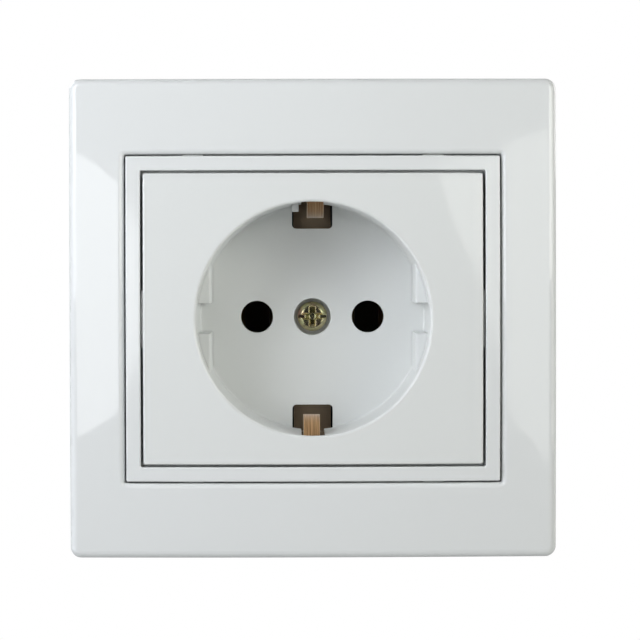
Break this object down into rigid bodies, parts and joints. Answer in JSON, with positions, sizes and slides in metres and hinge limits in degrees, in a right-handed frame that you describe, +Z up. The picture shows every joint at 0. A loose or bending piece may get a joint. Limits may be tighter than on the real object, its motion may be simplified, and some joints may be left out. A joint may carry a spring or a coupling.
{
  "type": "type f wall socket",
  "caption": "Flush-mounted type F wall socket with frame, inset ring, round plug well, side earth contacts, steel support plate and spreader claws.",
  "frame": {"origin": "centre of the wall plane, on the axis of the plug well, midway between the two box screw slots", "axes": "+Z up the wall, +X to the right as seen from the front, +Y into the wall; the front faces -Y"},
  "size_m": [0.0816, 0.0415, 0.0804],
  "materials": {
    "frame_plastic": "glossy moulded white ABS",
    "ring_plastic": "glossy moulded white ABS",
    "cover_plastic": "satin-gloss moulded white plastic",
    "base_plastic": "matt dark moulded insulating plastic",
    "yellow_zinc": "yellow zinc plated steel",
    "bright_zinc": "bright zinc plated steel",
    "galvanised_steel": "galvanised sheet steel",
    "claw_steel": "zinc plated stamped steel",
    "rivet_steel": "plain steel rivet",
    "contact_brass": "stamped brass sheet",
    "earth_bronze": "stamped copper-coloured bronze strip",
    "rivet_brass": "plain brass rivet"
  },
  "bodies": {
    "socket": {"frame": "frame_plastic", "inset_ring": "ring_plastic", "socket_cover": "cover_plastic", "cover_screw": "yellow_zinc", "cover_nut": "bright_zinc", "support_plate": "galvanised_steel", "plate_rivets": "rivet_steel", "base_body": "base_plastic", "line_contact": "contact_brass", "neutral_contact": "contact_brass", "earth_strap": "earth_bronze", "earth_link": "contact_brass", "earth_rivet": "rivet_brass", "line_terminal_screw": "bright_zinc", "neutral_terminal_screw": "bright_zinc", "earth_terminal_screw": "bright_zinc", "line_clamp_washer": "bright_zinc", "neutral_clamp_washer": "bright_zinc", "earth_clamp_washer": "bright_zinc"},
    "left_claw": {"claw_left": "claw_steel", "claw_screw_left": "bright_zinc"},
    "right_claw": {"claw_right": "claw_steel", "claw_screw_right": "bright_zinc"}
  },
  "joints": [
    {"name": "claw_left_swing", "type": "hinge", "parent": "socket", "child": "left_claw", "pos_m": [-0.0226, -0.0012, 0], "axis": [0, 0, 1], "range_deg": [0, 18]},
    {"name": "claw_right_swing", "type": "hinge", "parent": "socket", "child": "right_claw", "pos_m": [0.0226, -0.0012, 0], "axis": [0, 0, -1], "range_deg": [0, 18]}
  ]
}
